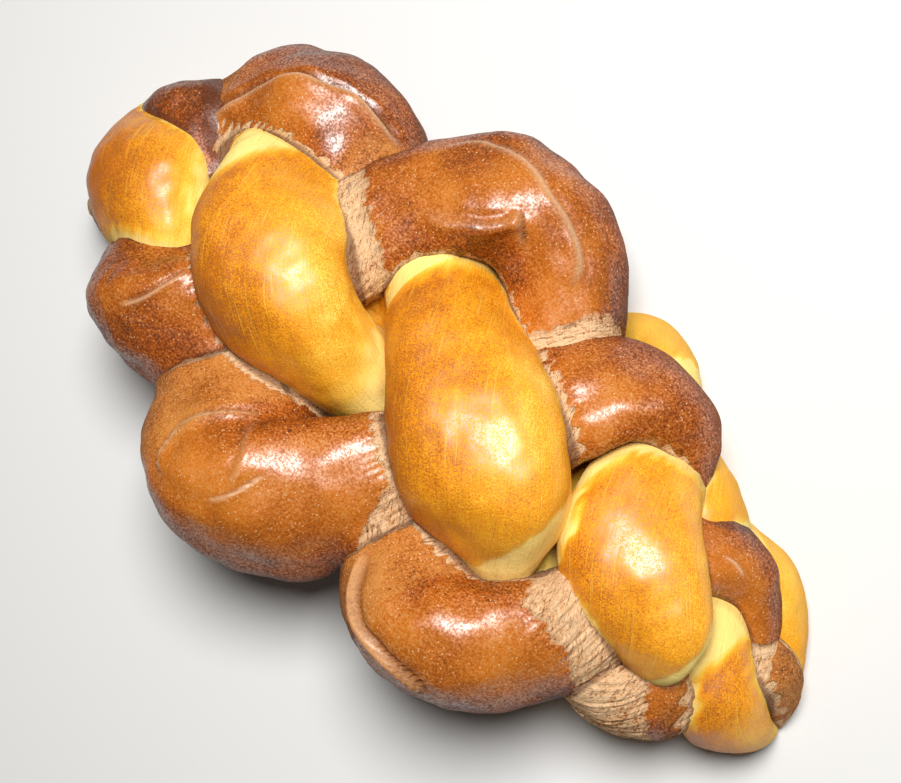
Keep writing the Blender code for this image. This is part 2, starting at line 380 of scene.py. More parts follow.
class CrustColours(PropertyGroup):
    """The colours that the oven gave the crust, from the palest crease to the brownest ridge; umber, chestnut and
    two of the cocoa colours also paint shade and light on it.
    """

    cream: FloatVectorProperty(
        name="Cream",
        description="Plain dough in the creases, which the heat barely reached",
        default=(1.0, 0.79, 0.27),
        subtype="COLOR",
    )
    straw: FloatVectorProperty(
        name="Straw",
        description="Plain crust just out of the creases",
        default=(0.93, 0.57, 0.075),
        subtype="COLOR",
    )
    gold: FloatVectorProperty(
        name="Gold",
        description="Plain crust half way up a lobe",
        default=(0.86, 0.385, 0.014),
        subtype="COLOR",
    )
    amber: FloatVectorProperty(
        name="Amber",
        description="Plain crust well up a lobe",
        default=(0.75, 0.255, 0.004),
        subtype="COLOR",
    )
    # Chestnut also paints shade in the creases between ropes and in the creases of the folds.
    chestnut: FloatVectorProperty(
        name="Chestnut",
        description="Plain crust where it browned most",
        default=(0.44, 0.115, 0.003),
        subtype="COLOR",
    )
    # Umber also paints shade: in the creases between ropes, in the creases of the folds and at the low end of the
    # tone on the lower flanks.
    umber: FloatVectorProperty(
        name="Umber",
        description="Cocoa crust in its darkest pores and wrinkles",
        default=(0.10, 0.026, 0.008),
        subtype="COLOR",
    )
    # This colour also paints shade on the lower flanks of the cocoa lobes, besides its own darker patches.
    cocoa_dark: FloatVectorProperty(
        name="Dark cocoa",
        description="The darker patches of the cocoa crust",
        default=(0.24, 0.052, 0.004),
        subtype="COLOR",
    )
    cocoa: FloatVectorProperty(
        name="Cocoa",
        description="Egg-washed cocoa crust",
        default=(0.42, 0.094, 0.003),
        subtype="COLOR",
    )
    # Golden cocoa is painted light: it is mixed in where the crust faces up, as if lit from above.
    cocoa_gold: FloatVectorProperty(
        name="Golden cocoa",
        description="Egg-washed cocoa crust on the upper flanks, where it browned least",
        default=(0.58, 0.175, 0.010),
        subtype="COLOR",
    )
    cocoa_tan: FloatVectorProperty(
        name="Cocoa tan",
        description="Cocoa crust that the egg wash missed, and its light grains",
        default=(0.54, 0.225, 0.055),
        subtype="COLOR",
    )
    cocoa_dough: FloatVectorProperty(
        name="Cocoa dough",
        description="Stretched cocoa dough that the egg wash missed",
        default=(0.60, 0.32, 0.145),
        subtype="COLOR",
    )
    cocoa_pale: FloatVectorProperty(
        name="Pale cocoa",
        description="Stretched cocoa dough in the creases",
        default=(0.76, 0.50, 0.28),
        subtype="COLOR",
    )


class StageSettings(PropertyGroup):
    """Floor, lights and camera."""

    floor_colour: FloatVectorProperty(
        name="Floor",
        description="Colour of the floor that the loaf stands on",
        default=(0.72, 0.71, 0.69),
        subtype="COLOR",
    )
    camera_place: FloatVectorProperty(
        name="Camera place",
        description="Where the camera stands",
        default=(0.1433, 0.0501, 0.5077),
        subtype="TRANSLATION",
    )
    camera_target: FloatVectorProperty(
        name="Camera target",
        description="The point in the middle of the view",
        default=(0.0128, 0.0058, 0.045),
        subtype="TRANSLATION",
    )
    camera_roll: FloatProperty(
        name="Camera roll",
        description="Turn of the camera about its line of sight, from the loaf's length upright",
        default=math.radians(-47),
        subtype="ANGLE",
    )
    lens: FloatProperty(
        name="Lens",
        description="Focal length on a sensor 36 mm wide",
        default=59.1,
        unit="CAMERA",
    )
    key_power: FloatProperty(
        name="Key light",
        description="Power of the large soft light overhead, in watts",
        default=12.1,
    )
    key_size: FloatProperty(
        name="Key size",
        description="Width of the large soft light",
        default=0.42,
        unit="LENGTH",
    )
    key_place: FloatVectorProperty(
        name="Key place",
        description="Where the large soft light hangs",
        default=(0.02, 0.28, 0.87),
        subtype="TRANSLATION",
    )
    room_strength: FloatProperty(
        name="Room light",
        description="Brightness of the even light from all round",
        default=0.05,
    )


# ------------------------------------------------------------------------------------ shape of the ropes


def unit(vectors):
    """Vectors of length 1 in the same directions."""
    return vectors / np.maximum(np.linalg.norm(vectors, axis=-1, keepdims=True), 1e-12)


def dot(a, b):
    """Dot products along the last axis, kept as an axis of length 1."""
    return np.sum(a * b, axis=-1, keepdims=True)


def ease(values, low, high):
    """0 up to low, 1 from high on, and a cubic between them."""
    share = np.clip((values - low) / (high - low), 0, 1)
    return share * share * (3 - 2 * share)


def ripple(points, size, seed, waves=24):
    """Soft random relief with a spread of about 1: a sum of sine waves of roughly the given length,
    each in a random direction. The points may have any number of coordinates."""
    random = np.random.default_rng(seed)
    directions = unit(random.normal(size=(waves, points.shape[-1])))
    lengths = size * random.uniform(0.7, 1.6, waves)
    phases = random.uniform(0, 2 * math.pi, waves)
    total = np.zeros(points.shape[:-1])
    for direction, length, phase in zip(directions, lengths, phases):
        total += np.sin(points @ (2 * math.pi * direction / length) + phase)
    return total * math.sqrt(2 / waves)


def lobe_place(name):
    """The kind of rope that makes a lobe, which of the two, and its crossing."""
    side, number = name[0], int(name[1:])
    if side in "TB":
        return "plain", (number + (side == "B")) % 2, number
    if side == "I":
        return "cocoa", number % 2, number
    return "cocoa", (number + (side == "L")) % 2, number + 0.5


def lobe_name(kind, twin, middle):
    """The name of the lobe that a rope makes at a crossing."""
    number = int(math.floor(middle))
    first = (number + twin) % 2 == 0
    if kind == "plain":
        return f"{'T' if first else 'B'}{number}"
    return f"{'R' if first else 'L'}{number}"


def lobe_shares(kind, twin, crossing, table):
    """For each lobe in the table that this rope makes: its row, the distance from it in crossings, and
    its share of each place, the square of a cosine that ends at the lobes before and after it."""
    for name, row in table.items():
        if lobe_place(name)[:2] == (kind, twin):
            away = np.clip(crossing - lobe_place(name)[2], -1, 1)
            yield row, away, np.cos(away * math.pi / 2) ** 2


class Rope:
    """One rope of dough at a number of stations from the thick end to the thin one: its centre line,
    its half width, its outer side and the directions of its sections."""

    def __init__(self, kind, twin, stations):
        """A plain rope's angle round the loaf grows by half a turn at each crossing and a cocoa
        rope's falls by as much, and the two ropes of a kind are half a turn apart."""
        braid, sizes = bpy.context.scene.braid_sizes, bpy.context.scene.rope_sizes
        self.kind, self.twin, self.flatness = kind, twin, sizes.flatness
        share = np.sin(np.linspace(-1, 1, stations) * math.pi / 2)
        reach = np.where(share > 0, braid.to_thin_end, braid.to_thick_end)
        self.crossing = crossing = braid.fattest + share * reach
        turned = math.pi * (crossing + twin)
        angle = math.pi / 2 + (turned if kind == "plain" else -turned)
        across, up = np.cos(angle), np.sin(angle)
        if kind == "plain":
            above, below = braid.plain_sway_above, braid.plain_sway_below
            side = (below + (above - below) * (1 + up) / 2) * across
            rise = np.where(up > 0, braid.plain_rise, braid.plain_drop) * up
            swollen = np.where(up > 0, sizes.plain_above, sizes.plain_below)
            half = swollen * up**2 + sizes.plain_squeezed * across**2
        else:
            side = braid.cocoa_sway * across
            rise = braid.cocoa_rise * up + braid.cocoa_lift * across**2
            half = sizes.cocoa_side * across**2 + sizes.cocoa_squeezed * up**2
        ahead, fatter = 0, 0
        for row, away, near in lobe_shares(kind, twin, crossing, UNEVEN):
            swing = np.sin(math.pi * away)
            ahead = ahead + near * (row.get("along", 0) + swing * row.get("longer", 0)) * MM
            side = side + near * (row.get("across", 0) + swing * row.get("straight", 0)) * MM
            rise = rise + near * row.get("up", 0) * MM
            fatter = fatter + near * (row.get("fatter", 0) - swing * row.get("lopsided", 0))
            fatter = fatter + 4 * near * (1 - near) * row.get("blunter", 0)
        fat = 1 - np.abs(share) ** sizes.taper
        self.spread, thin = fat**sizes.draw_together, fat**sizes.thinning
        lean = braid.lean + braid.lean_growth * share
        middle = self.spread * braid.plain_drop
        middle = middle + thin * (sizes.plain_below * sizes.flatness - sizes.pressed)
        run = braid.pitch * (crossing - braid.fattest) * (1 - braid.pitch_drop * share**2 / 3)
        bow = braid.bow[0] + braid.bow[1] * share + braid.bow[2] * share**2
        self.line = np.stack(
            [
                run + self.spread * ahead,
                self.spread * (side * np.cos(lean) + rise * np.sin(lean)) + bow,
                self.spread * (rise * np.cos(lean) - side * np.sin(lean)) + middle,
            ],
            axis=1,
        )
        self.half = half * (1 + fatter) * thin + sizes.tip
        self.along = unit(np.gradient(self.line, axis=0))
        turn = sizes.section_turn
        square = unit(self.along * turn + np.array([1.0, 0.0, 0.0]) * (1 - turn))
        outwards = np.stack([np.zeros_like(across), across, up], axis=1)
        self.out = unit(outwards - square * dot(outwards, square))
        self.sideways = np.cross(square, self.out)
        steps = np.linalg.norm(np.diff(self.line, axis=0), axis=1)
        self.length = np.concatenate([[0.0], np.cumsum(steps)])
        self.middle = np.round(crossing) if kind == "plain" else np.floor(crossing) + 0.5

    def surface(self, turns):
        """Points of the rope's skin at every station and turn, measured from its outer side: an oval,
        stretched where the section stands askew, so that the rope keeps its true thickness."""
        turns = turns[None, :, None]
        rim = self.out[:, None] * self.flatness * np.cos(turns)
        rim = rim + self.sideways[:, None] * np.sin(turns)
        across_rope = rim - self.along[:, None] * dot(rim, self.along[:, None])
        stretch = np.linalg.norm(rim, axis=2, keepdims=True)
        stretch = stretch / np.maximum(np.linalg.norm(across_rope, axis=2, keepdims=True), 0.3)
        return self.line[:, None] + self.half[:, None, None] * rim * stretch

    def gap_to(self, points):
        """Distance of points from this rope's skin, below 0 inside it: the least over its stations of
        the distance from the centre line, with the oval stretched to a circle, less the half width."""
        gaps = []
        stretch = 1 / self.flatness**2 - 1
        own = np.sum(self.line**2, axis=1)
        level = np.sum(self.line * self.out, axis=1)
        for some in np.array_split(points, max(1, len(points) // 8000)):
            away = np.sum(some**2, axis=1)[:, None] + own - 2 * some @ self.line.T
            height = some @ self.out.T - level
            gaps.append((np.sqrt(np.maximum(away + stretch * height**2, 0)) - self.half).min(axis=1))
        return np.concatenate(gaps)


def ring_turns(count):
    """Turns round a rope from -half to half a turn, closer together on its outer side."""
    even = np.linspace(-math.pi, math.pi, count, endpoint=False)
    return even - CROWDING * np.sin(even)


def grid_normals(points, middle):
    """Outward normals of a tube's grid of points: the cross product of its two directions."""
    round_it = np.roll(points, -1, axis=1) - np.roll(points, 1, axis=1)
    normals = unit(np.cross(np.gradient(points, axis=0), round_it))
    outward = np.sign(dot(normals, points - middle[:, None]).sum())
    return normals * outward


def centring():
    """The move that puts the middle of the bottom of the four bare ropes' box at the origin."""
    low, high = np.full(3, np.inf), np.full(3, -np.inf)
    for kind, twin in ROPES:
        points = Rope(kind, twin, 300).surface(ring_turns(72)).reshape(-1, 3)
        low, high = np.minimum(low, points.min(axis=0)), np.maximum(high, points.max(axis=0))
    return np.array([-(low[0] + high[0]) / 2, -(low[1] + high[1]) / 2, 0.0])


# ---------------------------------------------------------------------------------- what baking did to it


def crease_gaps(rope, skin):
    """Distances of a rope's skin from its twin and from the nearer rope of the other kind."""
    points = skin.reshape(-1, 3)
    gaps = {}
    for kind, twin in ROPES:
        if (kind, twin) != (rope.kind, rope.twin):
            gap = Rope(kind, twin, 240).gap_to(points).reshape(skin.shape[:2])
            key = "same" if kind == rope.kind else "other"
            gaps[key] = np.minimum(gaps.get(key, np.inf), gap)
    return gaps["same"], gaps["other"]


def fold_lines(rope, skin, turns):
    """Relief of the folds and stretch marks that this rope carries, how pale they make the crust on the lip,
    as paler stretched dough with a painted highlight on the ridge, and the painted shade in their creases.
    Each mark runs through named places on its lobe; across it, the relief is a raised lip beside a crease,
    and both fade with distance as the square of a bell."""
    relief, pale, dark = (np.zeros(skin.shape[:2]) for _ in range(3))
    points = skin.reshape(-1, 3)
    for lobe, lip, crease, width, lip_pale, crease_shading, places in MARKS:
        if lobe_place(lobe)[:2] != (rope.kind, rope.twin):
            continue
        course = np.array(places, float)
        at = np.linspace(0, len(course) - 1, 16 * len(course))
        crossing = smooth_course(at, course[:, 0]) + lobe_place(lobe)[2]
        station = np.interp(crossing, rope.crossing, np.arange(len(rope.crossing)))
        turn = np.radians(smooth_course(at, course[:, 1]))
        column = np.interp(turn, turns, np.arange(len(turns)))
        line = between_points(skin, station, column)
        step = unit(np.gradient(line, axis=0))
        low, high = line.min(axis=0) - 4 * width * MM, line.max(axis=0) + 4 * width * MM
        close = np.flatnonzero(np.all((points > low) & (points < high), axis=1))
        offset = points[close, None] - line[None]
        nearest = np.linalg.norm(offset, axis=2).argmin(axis=1)
        offset = offset[np.arange(len(close)), nearest]
        normal = unit(points[close] - rope.line[close // len(turns)])
        side = np.sum(np.cross(step[nearest], offset) * normal, axis=1) / (width * MM)
        away = np.linalg.norm(offset, axis=1) / (width * MM)
        ends = min(len(line) // 4, 12)
        fade = np.interp(nearest, [0, ends, len(line) - 1 - ends, len(line) - 1], [0, 1, 1, 0])
        fade = fade * np.exp(-2 * np.maximum(away**2 - side**2, 0))
        raised = np.exp(-3 * (side + 0.8) ** 2)
        cleft = np.exp(-((side / 0.32) ** 2))
        relief.reshape(-1)[close] += (lip * raised - crease * cleft) * fade * MM
        # Paler stretched dough on the lip, with a painted highlight along the ridge.
        pale.reshape(-1)[close] += lip_pale * np.exp(-9 * (side + 0.45) ** 2) * fade
        # Painted shade in the crease of the fold.
        dark.reshape(-1)[close] += crease_shading * cleft * fade
    return relief, pale.clip(0, 1), dark.clip(0, 1)


def smooth_course(at, values):
    """Values between those at the whole numbers, rounded off at the corners."""
    fine = np.interp(at, range(len(values)), values)
    weights = np.hanning(17)
    padded = np.pad(fine, 8, mode="edge")
    padded[:8] = 2 * fine[0] - fine[8:0:-1]
    padded[-8:] = 2 * fine[-1] - fine[-2:-10:-1]
    return np.convolve(padded, weights / weights.sum(), mode="valid")


def between_points(skin, station, column):
    """Points of a grid at fractional stations and columns, the columns counted round and round."""
    low, left = np.floor(station).astype(int), np.floor(column).astype(int)
    low = low.clip(0, len(skin) - 2)
    up, across = (station - low)[:, None], (column - left)[:, None]
    left, right = left % skin.shape[1], (left + 1) % skin.shape[1]
    near = skin[low, left] * (1 - across) + skin[low, right] * across
    far = skin[low + 1, left] * (1 - across) + skin[low + 1, right] * across
    return near * (1 - up) + far * up


def inside(rope, turns, table, usually):
    """How far inside the given part of its lobe each point is, in crossings from the start and from the
    end. The limits run evenly between the three turns that they are given for."""
    before, after = np.zeros((2, len(rope.crossing), len(turns)))
    round_it = np.degrees(turns)
    for middle in np.unique(rope.middle):
        name = lobe_name(rope.kind, rope.twin, middle)
        start, end = table.get(name, usually)
        here = rope.middle == middle
        away = (rope.crossing[here] - middle)[:, None]
        before[here] = away - np.interp(round_it, (-90, 0, 90), start)
        after[here] = np.interp(round_it, (-90, 0, 90), end) - away
    return before, after


def bake(rope, turns):
    """The baked skin of one rope and what its crust looks like at each point.

    Where two ropes of a kind meet, both swell into the crease. The egg-washed crust stands a little
    proud of the stretched dough round it, which is drawn into fibres along the rope."""
    skin = rope.surface(turns)
    same, other = crease_gaps(rope, skin)
    normals = grid_normals(skin, rope.line)
    around = rope.half[:, None] * turns[None]
    along = np.broadcast_to(rope.length[:, None], around.shape)
    turned = np.broadcast_to(np.sin(turns)[None], around.shape)
    seed = 10 * (rope.kind == "cocoa") + rope.twin
    soft = ripple(skin, 30 * MM, seed + 1)
    small = ripple(skin, 9 * MM, seed + 2)
    torn = ripple(np.stack([along / 5, around], axis=-1), 2.6 * MM, seed + 3)
    ragged = ripple(np.stack([along, around], axis=-1), 6 * MM, seed + 4, 40)
    paler, browner, snug = np.zeros((3, len(rope.crossing)))
    for total, table in ((paler, PALER), (browner, BROWNER_AND_SHADED), (snug, SNUG)):
        for row, _, near in lobe_shares(rope.kind, rope.twin, rope.crossing, table):
            total += row * near
    before, after = inside(rope, turns, WASHED, WASHED_USUALLY)
    before, after = before + 0.004 * ragged, after + 0.004 * ragged
    folds, pale, dark = fold_lines(rope, skin, turns)
    reach = np.minimum(same, other)
    if rope.kind == "plain":
        inner = (8 - 5 * turned) * MM
        wash = ease(same + 0.8 * MM * ragged, -0.5 * MM, inner)
        outer = (2.2 - 2.6 * turned).clip(0.8) * MM
        wash = np.minimum(wash, ease(other + 0.5 * MM * ragged, -2.0 * MM, outer))
        wash = np.minimum(wash, ease(before, -0.02, 0.06))
        names = [lobe_name(rope.kind, rope.twin, middle) for middle in rope.middle]
        fading = np.array([FADING.get(name, FADING_USUALLY) for name in names])[:, None]
        edge = np.where(fading > FADING_USUALLY, 1.0, ((after + 0.03) / 0.06).clip(0, 1))
        wash = np.minimum(wash, ease(after / fading, -0.5, 1.0))
        shine = np.ones_like(wash)
        relief = 0.35 * soft + 0.12 * small + 0.35 * wash
        web = 1.6 * MM * np.clip(1 - same / (9 * MM), 0, 1.6) ** 2
    else:
        wash = ((np.minimum(before, after) + 0.03) / 0.06).clip(0, 1)
        edge = np.minimum((other + 0.001 * ragged - 0.5 * MM) / (3 * MM), (same + 1.0 * MM) / (2 * MM))
        edge = np.minimum(wash, (edge.clip(0, 1) + snug[:, None]).clip(0, 1))
        shine = ease(np.minimum(*inside(rope, turns, SHINY, SHINY_USUALLY)) + 0.015 * soft, -0.06, 0.06)
        lumps = ripple(skin, 17 * MM, seed + 5)
        relief = 0.55 * soft + 0.30 * lumps + 0.16 * small
        relief = relief + 0.25 * (1 - wash) * torn + 0.6 * ease(edge, 0.3, 0.7)
        web = 1.3 * MM * np.clip(1 - same / (8 * MM), 0, 1.6) ** 2
    wash = np.clip(wash * (1 - paler[:, None]), 0, 1)
    relief = (relief - 0.9) * MM + folds + np.minimum(web, 3 * MM)
    thickness = (rope.half / (20 * MM)).clip(0.05, 1)[:, None]
    skin = skin + normals * (relief * thickness)[..., None]
    fields = {
        "wash": wash,
        "edge": edge,
        "shine": shine,
        "crease": reach / MM,
        "pale": pale,
        "dark": dark,
        "turned": turned,
        # How much the skin faces up; the cocoa crust paints shade on its lower flanks and light on its upper ones
        # from it.
        "upper": normals[..., 2],
        "browner": np.broadcast_to(browner[:, None], around.shape),
        "along": along / MM,
        "around": around / MM,
    }
    return skin, fields


def settle(skin, level):
    """Presses what would be lower than level up on to it: the height becomes the upper branch of a
    hyperbola between the old height and level, so the flattened underside has a soft edge."""
    above = skin[..., 2] - level
    skin[..., 2] = level + (above + np.sqrt(above**2 + (0.5 * MM) ** 2)) / 2 - 0.25 * MM
    skin[..., 2] = np.maximum(skin[..., 2], level)
    return skin


def rope_piece(name, kind, twin, level, material):
    """Makes one closed rope: a grid of stations and turns, with a point that closes each end."""
    sizes = bpy.context.scene.rope_sizes
    stations, ring = sizes.stations, sizes.ring
    rope = Rope(kind, twin, stations)
    skin, fields = bake(rope, ring_turns(ring))
    skin = settle(skin, level) + centring()
    ends = skin[[0, -1]].mean(axis=1)
    points = np.concatenate([skin.reshape(-1, 3), ends])
    grid = np.arange(stations * ring).reshape(stations, ring)
    beside = np.roll(grid, -1, axis=1)
    quads = np.stack([grid[:-1], beside[:-1], beside[1:], grid[1:]], axis=-1).reshape(-1, 4)
    first, last = stations * ring, stations * ring + 1
    thick_end = np.stack([beside[0], grid[0], np.full(ring, first)], axis=-1)
    thin_end = np.stack([grid[-1], beside[-1], np.full(ring, last)], axis=-1)
    faces = quads.tolist() + thick_end.tolist() + thin_end.tolist()
    mesh = bpy.data.meshes.new(name)
    mesh.from_pydata(points.tolist(), [], faces)
    if signed_volume(points, quads) < 0:
        mesh.flip_normals()
    mesh.shade_smooth()
    for field, values in fields.items():
        values = np.concatenate([values.ravel(), values[0, :1], values[-1, :1]])
        attribute = mesh.attributes.new(field, "FLOAT", "POINT")
        attribute.data.foreach_set("value", values.astype(np.float32))
    mesh.materials.append(material)
    piece = bpy.data.objects.new(name, mesh)
    bpy.context.scene.collection.objects.link(piece)
    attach(piece, "root")
    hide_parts("loaf")
    return piece


def signed_volume(points, quads):
    """Six times the volume inside the quads, counted below 0 where they face inwards."""
    a, b, c, d = (points[quads[:, corner]] for corner in range(4))
    return float(np.sum(np.cross(b - a, c - a) * a) + np.sum(np.cross(c - a, d - a) * a))


# ------------------------------------------------------------------------------------------- crust finishes


class Field:
    """A value that changes over a surface. Python's operators on it add the Math nodes."""

    def __init__(self, recipe, socket):
        self.recipe, self.socket = recipe, socket

    def __add__(self, other):
        return self.recipe.maths("ADD", self, other)

    def __sub__(self, other):
        return self.recipe.maths("SUBTRACT", self, other)

    def __rsub__(self, other):
        return self.recipe.maths("SUBTRACT", other, self)

    def __mul__(self, other):
        return self.recipe.maths("MULTIPLY", self, other)

    def __truediv__(self, other):
        return self.recipe.maths("DIVIDE", self, other)

    def __pow__(self, other):
        return self.recipe.maths("POWER", self, other)

    __radd__ = __add__
    __rmul__ = __mul__


class Recipe:
    """A material under construction."""

    def __init__(self, name):
        self.material = bpy.data.materials.new(name)
        self.material.use_nodes = True
        self.tree = self.material.node_tree
        self.shader = self.tree.nodes["Principled BSDF"]
        self.place = Field(self, self.node("ShaderNodeTexCoord").outputs["Object"])

    def node(self, kind, settings=None, sockets=None):
        """Adds a node, sets it up, ramp stops included, then sets or links its sockets."""
        node = self.tree.nodes.new(kind)
        for key, value in (settings or {}).items():
            if key == "stops":
                ramp = node.color_ramp.elements
                while len(ramp) < len(value):
                    ramp.new(1.0)
                for stop, (position, colour) in zip(ramp, value):
                    stop.position = position
                    stop.color = (*colour, 1.0)
            else:
                setattr(node, key, value)
        for key, value in (sockets or {}).items():
            self.feed(node.inputs[key], value)
        return node

    def feed(self, socket, value):
        """Links a field to a socket, or sets the socket to a plain value."""
        if isinstance(value, Field):
            self.tree.links.new(value.socket, socket)
        else:
            socket.default_value = value

    def maths(self, operation, *values):
        node = self.node("ShaderNodeMath", {"operation": operation}, dict(enumerate(values)))
        return Field(self, node.outputs[0])

    def attribute(self, name):
        node = self.node("ShaderNodeAttribute", {"attribute_name": name})
        return Field(self, node.outputs["Fac"])

    def noise(self, size, detail=2.0, roughness=0.5, place=None, warp=0.0):
        """Cloudy noise about 0.5, its largest blotches about as wide as size, in the units of place."""
        sockets = {"Vector": place or self.place, "Scale": 1 / size, "Detail": detail}
        sockets |= {"Roughness": roughness, "Distortion": warp}
        return Field(self, self.node("ShaderNodeTexNoise", None, sockets).outputs["Fac"])

    def cells(self, size, feature="F1"):
        """Distance from the nearest of many scattered points, in shares of size."""
        sockets = {"Vector": self.place, "Scale": 1 / size}
        node = self.node("ShaderNodeTexVoronoi", {"feature": feature}, sockets)
        return Field(self, node.outputs["Distance"])

    def ease(self, value, low, high, start=0.0, end=1.0):
        """A smooth step of value, from start at low to end at high."""
        sockets = {"Value": value, "From Min": low, "From Max": high, "To Min": start, "To Max": end}
        node = self.node("ShaderNodeMapRange", {"interpolation_type": "SMOOTHSTEP"}, sockets)
        return Field(self, node.outputs["Result"])

    def ramp(self, value, stops):
        """The colour of a ramp at value."""
        node = self.node("ShaderNodeValToRGB", {"stops": stops}, {"Fac": value})
        return Field(self, node.outputs["Color"])

    def mix(self, share, first, second, blend="MIX"):
        """A colour that goes from first to second as share goes from 0 to 1."""
        node = self.node("ShaderNodeMix", {"data_type": "RGBA", "blend_type": blend})
        for index, value in ((0, share), (6, first), (7, second)):
            if not isinstance(value, Field) and index:
                value = (*value, 1.0)
            self.feed(node.inputs[index], value)
        return Field(self, node.outputs[2])

    def stretched(self, long, wide):
        """A place on the rope's own skin, divided by long along the rope and by wide round it."""
        sockets = {"X": self.attribute("along") / long, "Y": self.attribute("around") / wide}
        return Field(self, self.node("ShaderNodeCombineXYZ", None, sockets).outputs[0])

    def bump(self, height, distance, strength=1.0):
        """Fine relief of the given height, in metres for a height of 1, on the shader's normal."""
        sockets = {"Height": height, "Distance": distance, "Strength": strength}
        self.feed(self.shader.inputs["Normal"], Field(self, self.node("ShaderNodeBump", None, sockets).outputs[0]))

    def finish(self, **sockets):
        """Sets or links the shader's own sockets, with underscores for the spaces in their names."""
        for key, value in sockets.items():
            self.feed(self.shader.inputs[key.replace("_", " ")], value)
        return self.material


def plain_crust():
    """Egg-washed plain crust: cream in the creases, gold on the crown and more brown on one flank, partly
    painted shade, with painted shade close to the creases between ropes; finely grained, with faint stretch
    marks along the rope and pin-prick blisters."""
    colours = bpy.context.scene.crust_colours
    recipe = Recipe("plain crust")
    turned = recipe.attribute("turned")
    clouds = recipe.noise(30 * MM, 2.0, 0.5) - 0.5
    blotches = recipe.noise(7 * MM, 3.0, 0.6) - 0.5
    mottle = recipe.noise(1.5 * MM, 2.0, 0.6) - 0.5
    grit = recipe.noise(0.5 * MM, 2.0, 0.6) - 0.5
    streaks = recipe.noise(1.0, 3.0, 0.7, recipe.stretched(9.0, 0.7)) - 0.5
    hairs = recipe.ease(recipe.noise(1.0, 1.0, 0.5, recipe.stretched(16.0, 0.9), 0.6), 0.62, 0.70)
    edge = recipe.ease(recipe.attribute("edge") + blotches * 0.4, 0.42, 0.58)
    wash = recipe.attribute("wash") * edge
    uneven = clouds * 0.9 + blotches * 0.5 + mottle * 0.3 + grit * 1.6 + streaks * 0.45
    heat = 0.05 + clouds * 0.12 + streaks * 0.10
    # Painted shade with browning: turned makes one flank of each lobe browner, the flank that faces away from the
    # light, and the lobes listed as darker get more heat, partly as painted shade.
    heat = heat + wash * (0.67 + turned * 0.20 + recipe.attribute("browner") * 0.3)
    heat = heat + uneven * wash * 0.8
    stops = [
        (0.0, colours.cream),
        (0.22, colours.straw),
        (0.48, colours.gold),
        (0.74, colours.amber),
        (1.0, colours.chestnut),
    ]
    crust = recipe.ramp(heat, stops)
    specks = 1 - recipe.ease(recipe.cells(1.9 * MM), 0.06, 0.16)
    spots = specks * recipe.ease(recipe.noise(6 * MM), 0.45, 0.62) * wash
    crust = recipe.mix(spots * 0.6, crust, colours.chestnut)
    crust = recipe.mix(hairs * wash * 0.35, crust, colours.straw)
    # The lips of the folds: paler stretched dough with a painted highlight along the ridge.
    crust = recipe.mix(recipe.attribute("pale"), crust, colours.straw)
    # Painted shade in the creases of the folds.
    crust = recipe.mix(recipe.attribute("dark"), crust, colours.chestnut)
    # Painted shade: the crust is mixed up to 0.3 of the way towards chestnut close to the creases where the ropes
    # meet.
    painted_crease_shade = 1 - recipe.ease(recipe.attribute("crease"), -1.0, 1.2)
    crust = recipe.mix(painted_crease_shade * 0.3, crust, colours.chestnut)
    recipe.bump(grit * 0.9 + streaks * 0.6 + mottle * 0.7 - hairs * 0.4, 0.20 * MM)
    glint = recipe.ease(grit + mottle * 0.4, -0.12, 0.12, 0.15, 1.0)
    crown = recipe.ease(recipe.attribute("upper"), 0.05, 0.65, 0.1, 1.0)
    return recipe.finish(
        Base_Color=crust,
        Roughness=0.8 - wash * 0.25,
        Coat_Weight=wash * glint * crown,
        Coat_Roughness=0.39,
        Coat_IOR=1.85,
        Specular_IOR_Level=0.2,
    )


